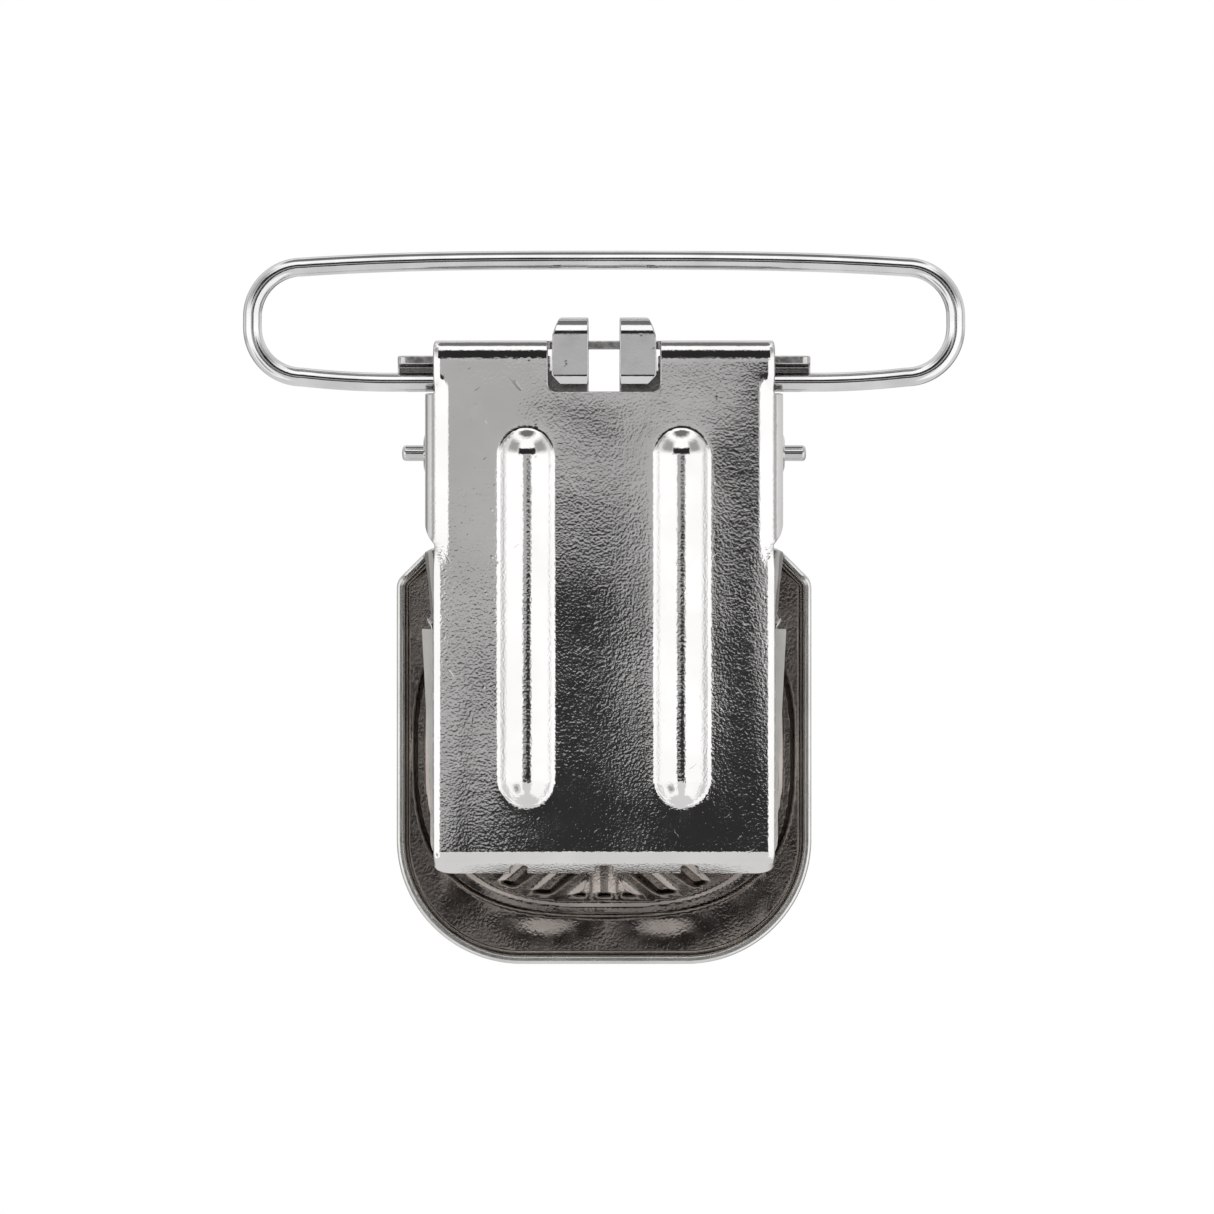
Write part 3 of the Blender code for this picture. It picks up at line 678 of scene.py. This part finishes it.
def build_sheet(name, blank, fold, step, edge_round, materials):
    """A folded sheet; its materials are for the face towards -Y when flat, the other and the edges."""
    outline, holes = blank
    # Every loop runs with the material on its left, so that the ways outwards and the edges agree.
    loops = []
    for index, loop in enumerate([outline, *holes]):
        points = resample(loop, step)
        turns_left = signed_area(points) > 0
        loops.append(points if turns_left == (index == 0) else points[::-1])
    ways = [outward(loop) for loop in loops]
    inset = [loop - way * edge_round for loop, way in zip(loops, ways)]
    interior = fill_points(inset, step)
    flat = np.concatenate([*inset, interior])
    edges = []
    base = 0
    for loop in loops:
        count = len(loop)
        edges += [(base + i, base + (i + 1) % count) for i in range(count)]
        base += count
    triangles = delaunay_2d_cdt([tuple(p) for p in flat], edges, [], 1, 1e-7)[2]
    triangles = np.array(triangles)
    keep = inside(flat[triangles].mean(axis=1), inset)
    triangles = triangles[keep]

    # The two faces
    middle, along_u, along_v = slopes(fold, flat)
    normal = unit(np.cross(along_u, along_v))
    points = [middle + normal * HALF_SHEET, middle - normal * HALF_SHEET]
    normals = [normal, -normal]
    # The rounded edge, in layers: how far inside the outline, how far off the sheet's middle, and
    # which face the normal leans to.
    border = np.concatenate(loops)
    way = np.concatenate(ways)
    corner = edge_round * (1 - math.sqrt(0.5))
    layers = ((corner, HALF_SHEET - corner, 1), (0, HALF_SHEET - edge_round, 0),
              (0, edge_round - HALF_SHEET, 0), (corner, corner - HALF_SHEET, -1))
    for inward, height, lean in layers:
        middle, along_u, along_v = slopes(fold, border - way * inward)
        normal = unit(np.cross(along_u, along_v))
        sideways = unit(along_u * way[:, :1] + along_v * way[:, 1:])
        points.append(middle + normal * height)
        normals.append(unit(sideways + normal * lean))

    # A strip of faces joins each layer to the next, from the first face to the other.
    total = len(flat)
    count = len(border)
    starts = [0, 2 * total, 2 * total + count, 2 * total + 2 * count, 2 * total + 3 * count, total]
    faces = [tuple(t) for t in triangles.tolist()]
    faces += [(a + total, c + total, b + total) for a, b, c in triangles.tolist()]
    slots = [0] * len(triangles) + [1] * len(triangles)
    for upper, lower in zip(starts, starts[1:]):
        faces += [(upper + i, lower + i, lower + j, upper + j) for i, j in edges]
        slots += [2] * len(edges)
    return make_mesh(name, np.concatenate(points), np.concatenate(normals), faces, slots, materials)


def build_wire(name, path, radius, finish, sides=28):
    """A round wire along a path in the XZ plane, with softly rounded cut ends."""
    path = np.array(path)
    heading = unit(np.gradient(path, axis=0))
    across = np.stack((heading[:, 2], heading[:, 1], -heading[:, 0]), axis=1)
    # An end's rings: how far in from the cut, how wide, and how far the normals lean outwards.
    ends = [(0, 0.0, 1), (0, 0.6, 0.9), (0.06, 0.86, 0.6), (0.2, 1.0, 0)]
    rings = [(path[0] + heading[0] * (shift * radius), across[0], heading[0], size, -lean)
             for shift, size, lean in ends]
    rings += [(p, a, h, 1.0, 0) for p, a, h in zip(path[4:-4], across[4:-4], heading[4:-4])]
    rings += [(path[-1] - heading[-1] * (shift * radius), across[-1], heading[-1], size, lean)
              for shift, size, lean in reversed(ends)]
    points = []
    normals = []
    depth = np.array((0.0, 1.0, 0.0))
    for centre, side, ahead, size, lean in rings:
        for i in range(sides):
            angle = math.tau * i / sides
            around = side * math.cos(angle) + depth * math.sin(angle)
            points.append(centre + around * radius * max(size, 0.001))
            normals.append(around * math.sqrt(1 - lean ** 2) + ahead * lean)
    faces = []
    for ring in range(len(rings) - 1):
        for i in range(sides):
            j = (i + 1) % sides
            low, high = ring * sides, (ring + 1) * sides
            faces.append((low + i, low + j, high + j, high + i))
    return make_mesh(name, np.array(points), np.array(normals), faces, [0] * len(faces), [finish])


def loop_path():
    """The strap loop's centre line from one hidden end round to the other."""
    corner_x = LOOP_SIDE - LOOP_CORNER
    leg = [(x, LEG_Z) for x in np.linspace(LEG_END, LEG_STRAIGHT, 24)]
    for x in np.linspace(LEG_STRAIGHT, corner_x, 17)[1:-1]:
        share = (x - LEG_STRAIGHT) / (corner_x - LEG_STRAIGHT)
        leg.append((x, LEG_Z + LOOP_RISE * share ** 2))
    lower = arc((corner_x, LEG_Z + LOOP_RISE + LOOP_CORNER), LOOP_CORNER, -90, 0, 4)
    upper = arc((corner_x, -LOOP_SAG - LOOP_CORNER), LOOP_CORNER, 0, 90, 4)
    bar = [(x, -LOOP_SAG * (x / corner_x) ** 3) for x in np.linspace(corner_x, 0, 40)[1:]]
    right = leg + lower + upper[1:] + bar
    whole = right + [(-x, z) for x, z in reversed(right[:-1])]
    return [(x, 0.0, z) for x, z in whole]


def build_pin(name, finish, sides=32):
    """The cut pin: a barrel with a burr-softened shoulder and a slightly domed face at each end."""
    shoulder = [(0.0, 0.0), (-0.02, 0.2), (-0.05, 0.33), (-0.12, 0.42)]
    shoulder += [(-0.24, PIN_RADIUS), (-0.6, PIN_RADIUS)]
    half = [(PIN_HALF + x, radius) for x, radius in shoulder]
    profile = half + [(-x, radius) for x, radius in reversed(half)]
    points = []
    normals = []
    for index, (x, radius) in enumerate(profile):
        before = profile[max(index - 1, 0)]
        after = profile[min(index + 1, len(profile) - 1)]
        slope_x, slope_r = before[1] - after[1], before[0] - after[0]
        for i in range(sides):
            angle = math.tau * i / sides
            forward, up = math.cos(angle), math.sin(angle)
            points.append((x, PIN_Y + radius * forward, PIN_Z + radius * up))
            normals.append((-slope_x, slope_r * forward, slope_r * up))
    normals = unit(np.array(normals))
    faces = []
    for ring in range(len(profile) - 1):
        for i in range(sides):
            j = (i + 1) % sides
            low, high = ring * sides, (ring + 1) * sides
            faces.append((low + i, high + i, high + j, low + j))
    return make_mesh(name, np.array(points), normals, faces, [0] * len(faces), [finish])


# ---------------------------------------------------------------- materials

# Two sets of hair scratches: how each is turned, and how fine it is along each axis.
SCRATCHES = (((0.3, 0.9, 0.2), (600, 600, 5200)), ((0.1, 2.5, 0.3), (800, 800, 6500)))
PEEL_HEIGHTS = (-0.009, -0.021)     # metres up, between which the fine orange peel gets stronger


class Graph:
    """A node tree that is written as a few plain calls."""

    def __init__(self, tree):
        self.tree = tree

    def add(self, kind, settings=(), **inputs):
        node = self.tree.nodes.new("ShaderNode" + kind)
        for key, value in dict(settings).items():
            setattr(node, key, value)
        for key, value in inputs.items():
            self.put(node.inputs[key.replace("_", " ")], value)
        return node

    def put(self, socket, value):
        if isinstance(value, bpy.types.NodeSocket):
            self.tree.links.new(value, socket)
        else:
            socket.default_value = value

    def math(self, operation, first, second=0.0):
        node = self.add("Math", {"operation": operation})
        self.put(node.inputs[0], first)
        self.put(node.inputs[1], second)
        return node.outputs[0]

    def ramp(self, value, low, high, to_low=0.0, to_high=1.0):
        """A smooth rise or fall between two values, which are constants."""
        node = self.add("MapRange", {"interpolation_type": "SMOOTHSTEP"}, Value=value)
        names = ("From Min", "From Max", "To Min", "To Max")
        for name, number in zip(names, (low, high, to_low, to_high)):
            node.inputs[name].default_value = number
        return node.outputs[0]

    def noise(self, vector, scale, detail):
        return self.add("TexNoise", Vector=vector, Scale=scale, Detail=detail).outputs[0]

    def stretched(self, turn, scale):
        """The place on the object, turned and then scaled differently along each axis."""
        mapping = self.add("Mapping", {"vector_type": "TEXTURE"}, Vector=self.place())
        mapping.inputs["Rotation"].default_value = turn
        mapping.inputs["Scale"].default_value = [1 / size for size in scale]
        return mapping.outputs[0]

    def place(self):
        return self.add("TexCoord").outputs["Object"]

    def blend(self, share, first, second, kind="RGBA"):
        node = self.add("Mix", {"data_type": kind})
        self.put(node.inputs["Factor"], share)
        self.put(node.inputs["A"], first)
        self.put(node.inputs["B"], second)
        return node.outputs["Result"]

    def bump(self, shader, height, distance):
        """Gives the shader a bump of that height, whose unit is that distance in metres."""
        self.put(shader.inputs["Normal"], self.add("Bump", Height=height, Distance=distance).outputs[0])


def new_material(name, metallic=0.0):
    finish = bpy.data.materials.new(name)
    finish.use_nodes = True
    shader = finish.node_tree.nodes["Principled BSDF"]
    shader.inputs["Metallic"].default_value = metallic
    return finish, Graph(finish.node_tree), shader


def paint(colour, share=1.0):
    """That share of a colour's brightness, as the four numbers a socket takes."""
    return (*[share * c for c in colour], 1)


def plated_steel(name, bright, dull, smooth, rough, peel):
    """Nickel plating over rolled sheet: cloudy patches, hair scratches, pits and orange peel.

    The roughness goes from smooth to rough. Peel is how strong the orange peel is, and its fine part
    gets stronger down the clip.
    """
    finish, graph, shader = new_material(name, 1.0)
    place = graph.place()
    cloud = graph.ramp(graph.noise(place, 260, 3), 0.35, 0.7)
    graph.put(shader.inputs["Base Color"], graph.blend(cloud, paint(dull), paint(bright)))

    scratches = []
    for turn, scale in SCRATCHES:
        line = graph.noise(graph.stretched(turn, scale), 1.0, 1)
        scratches.append(graph.ramp(line, 0.76, 0.84))
    cells = graph.add("TexVoronoi", Vector=place, Scale=2300.0)
    chance = graph.add("SeparateColor", Color=cells.outputs["Color"]).outputs[0]
    pitted = graph.math("GREATER_THAN", chance, 0.93)
    pit = graph.math("MULTIPLY", graph.ramp(cells.outputs["Distance"], 0.34, 0.05), pitted)
    marks = graph.math("ADD", graph.math("MAXIMUM", *scratches), pit)

    even = graph.ramp(graph.noise(place, 900, 3), 0.3, 0.75, smooth, rough)
    roughness = graph.math("ADD", even, graph.math("MULTIPLY", marks, 0.1))
    graph.put(shader.inputs["Roughness"], roughness)

    height_up = graph.add("SeparateXYZ", Vector=place).outputs["Z"]
    strength = graph.math("MULTIPLY", graph.ramp(height_up, *PEEL_HEIGHTS, 0.65, 1.3), peel)
    fine = graph.math("MULTIPLY", graph.noise(place, 6500, 1), strength)
    broad = graph.math("MULTIPLY", graph.noise(place, 1000, 1), peel * 0.6)
    sunk = graph.math("MULTIPLY", marks, -0.9)
    graph.bump(shader, graph.math("ADD", graph.math("ADD", fine, broad), sunk), 5e-6)
    return finish


def sheared_edge(name, colour):
    """A punched edge: rougher than the plating, with a fine grain."""
    finish, graph, shader = new_material(name, 1.0)
    grain = graph.noise(graph.place(), 3000, 2)
    shade = graph.blend(graph.ramp(grain, 0.35, 0.65), paint(colour, 0.75), paint(colour))
    graph.put(shader.inputs["Base Color"], shade)
    graph.put(shader.inputs["Roughness"], graph.ramp(grain, 0.3, 0.7, 0.12, 0.3))
    graph.bump(shader, grain, 1.2e-6)
    return finish


def drawn_wire(name, colour):
    """Polished drawn wire, with faint draw lines and a slow wobble."""
    finish, graph, shader = new_material(name, 1.0)
    place = graph.place()
    tarnish = graph.ramp(graph.noise(place, 420, 3), 0.3, 0.7)
    graph.put(shader.inputs["Base Color"], graph.blend(tarnish, paint(colour, 0.86), paint(colour)))
    lines = graph.noise(graph.stretched((0, 0, 0), (180, 9000, 9000)), 1.0, 2)
    graph.put(shader.inputs["Roughness"], graph.ramp(lines, 0.3, 0.7, 0.07, 0.16))
    wobble = graph.math("MULTIPLY", graph.noise(place, 700, 2), 1.6)
    graph.bump(shader, graph.math("ADD", wobble, graph.math("MULTIPLY", lines, 0.35)), 3e-6)
    return finish


def moulded_plastic(name, colour):
    """Off-white moulded plastic with a fine matt grain and a trace of handling dirt."""
    finish, graph, shader = new_material(name)
    place = graph.place()
    dirt = graph.ramp(graph.noise(place, 340, 4), 0.35, 0.75)
    graph.put(shader.inputs["Base Color"], graph.blend(dirt, paint(colour), paint(colour, 0.82)))
    grain = graph.noise(place, 4200, 3)
    graph.put(shader.inputs["Roughness"], graph.ramp(grain, 0.3, 0.7, 0.38, 0.56))
    shader.inputs["Subsurface Weight"].default_value = 0.12
    shader.inputs["Subsurface Radius"].default_value = (0.0006, 0.0005, 0.0004)
    graph.bump(shader, grain, 8e-6)
    return finish


# ---------------------------------------------------------------- studio

def build_world():
    """White to the camera, and the studio with its panels to everything that the light meets."""
    world = bpy.data.worlds.new("studio")
    bpy.context.scene.world = world
    world.use_nodes = True
    world.node_tree.nodes.clear()
    graph = Graph(world.node_tree)
    way = graph.add("SeparateXYZ", Vector=graph.add("TexCoord").outputs["Generated"])
    x, y, z = way.outputs
    azimuth = graph.math("DEGREES", graph.math("ARCTAN2", x, graph.math("MULTIPLY", y, -1.0)))
    elevation = graph.math("DEGREES", graph.math("ARCSINE", z))
    tone = STUDIO_WHITE
    for left, right, low, high, soft, brightness in PANELS:
        share = graph.ramp(azimuth, left - soft, left + soft)
        edges = ((azimuth, right, 1.0, 0.0), (elevation, high, 1.0, 0.0), (elevation, low, 0.0, 1.0))
        for value, edge, before, after in edges:
            fade = graph.ramp(value, edge - soft, edge + soft, before, after)
            share = graph.math("MULTIPLY", share, fade)
        tone = graph.blend(share, tone, brightness, "FLOAT")
    studio = graph.add("Background", Color=(1, 1, 1, 1), Strength=tone)
    backdrop = graph.add("Background", Color=(1, 1, 1, 1), Strength=1.0)
    mixed = graph.add("MixShader")
    graph.put(mixed.inputs[0], graph.add("LightPath").outputs["Is Camera Ray"])
    graph.put(mixed.inputs[1], studio.outputs[0])
    graph.put(mixed.inputs[2], backdrop.outputs[0])
    graph.add("OutputWorld", Surface=mixed.outputs[0])


def build_floor():
    """A plain pale floor well below the hanging clip."""
    mesh = bpy.data.meshes.new("floor")
    signs = ((-1, -1), (1, -1), (1, 1), (-1, 1))
    corners = [(x * FLOOR_HALF, y * FLOOR_HALF, FLOOR_Z) for x, y in signs]
    mesh.from_pydata(corners, [], [(0, 1, 2, 3)])
    finish, _, shader = new_material("floor_white")
    shader.inputs["Base Color"].default_value = (0.9, 0.9, 0.9, 1)
    shader.inputs["Roughness"].default_value = 0.9
    shader.inputs["Emission Color"].default_value = (1, 1, 1, 1)
    shader.inputs["Emission Strength"].default_value = 0.45
    mesh.materials.append(finish)
    floor = bpy.data.objects.new("floor", mesh)
    bpy.context.scene.collection.objects.link(floor)
    floor.visible_glossy = False


def build_camera():
    """A long lens straight behind the clip, framed like the photo."""
    data = bpy.data.cameras.new("camera")
    data.sensor_width = SENSOR
    data.lens = SENSOR * (CAMERA_DISTANCE + BACK_Y) / FRAME_WIDTH
    data.clip_start = 0.01
    camera = bpy.data.objects.new("camera", data)
    camera.location = (FRAME_CENTRE[0] * MM, -CAMERA_DISTANCE * MM, FRAME_CENTRE[1] * MM)
    camera.rotation_euler = (math.pi / 2, 0, 0)
    bpy.context.scene.collection.objects.link(camera)
    bpy.context.scene.camera = camera


# ---------------------------------------------------------------- the clip

def ride(obj, body, node):
    """Puts a piece on its body, in the place of its CAD node, which it hides."""
    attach(obj, body)
    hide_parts(node)


def build_clip():
    plate = plated_steel("plated_steel", (0.87, 0.86, 0.85), (0.81, 0.8, 0.79), 0.04, 0.1, 1.4)
    jaw_face = plated_steel("jaw_steel", (0.86, 0.86, 0.86), (0.8, 0.8, 0.8), 0.06, 0.14, 0.5)
    # The jaw's face towards the back is the same plating painted much darker: painted shade for the arms
    # that lie in the shadow between the plates
    jaw_inner_shaded = plated_steel("jaw_inside_painted_shade", (0.42, 0.4, 0.39), (0.3, 0.29, 0.28), 0.12, 0.28, 1.2)
    cover_face = plated_steel("cover_steel", (0.86, 0.85, 0.83), (0.78, 0.765, 0.75), 0.04, 0.1, 0.6)
    # The cover's inner face is the same plating painted dark and warm: painted shade for the inside that
    # the back plate and jaw shade
    cover_inner_shaded = plated_steel("cover_inside_painted_shade", (0.44, 0.395, 0.36), (0.32, 0.285, 0.265), 0.1, 0.2, 1.2)
    cover_rim = plated_steel("cover_rim", (0.84, 0.83, 0.81), (0.74, 0.73, 0.71), 0.22, 0.3, 0.2)
    edge = sheared_edge("sheared_edge", (0.72, 0.71, 0.7))
    wire = drawn_wire("bright_wire", (0.86, 0.86, 0.86))
    pin_steel = drawn_wire("pin_steel", (0.72, 0.72, 0.71))
    plastic = moulded_plastic("liner_plastic", (0.8, 0.79, 0.75))

    back = build_sheet("back_sheet", back_blank(), fold_back, GRID_STEP, EDGE_ROUND,
                       [plate, plate, edge])
    ride(back, "back", "back_plate")
    jaw = build_sheet("jaw_sheet", jaw_blank(), fold_jaw, GRID_STEP, EDGE_ROUND,
                      [jaw_inner_shaded, jaw_face, edge])
    ride(jaw, "jaw", "inner_jaw")
    lever = build_sheet("lever_sheet", lever_blank(), fold_lever, FINE_STEP, RIM_ROUND,
                        [cover_inner_shaded, cover_face, cover_rim])
    ride(lever, "lever", "front_lever")
    loop = build_wire("loop_wire", loop_path(), WIRE / 2, wire)
    ride(loop, "loop", "strap_loop")
    pin = build_pin("cut_pin", pin_steel)
    ride(pin, "back", "pivot_pin")

    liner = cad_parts["jaw_liner"]
    liner.data.materials.clear()
    liner.data.materials.append(plastic)
    soften = liner.modifiers.new("soften", "BEVEL")
    soften.width = 0.12 * MM
    soften.segments = 2
    soften.limit_method = "ANGLE"
    soften.harden_normals = True


bpy.context.scene.view_settings.view_transform = "Standard"
build_camera()
build_world()
build_floor()
build_clip()
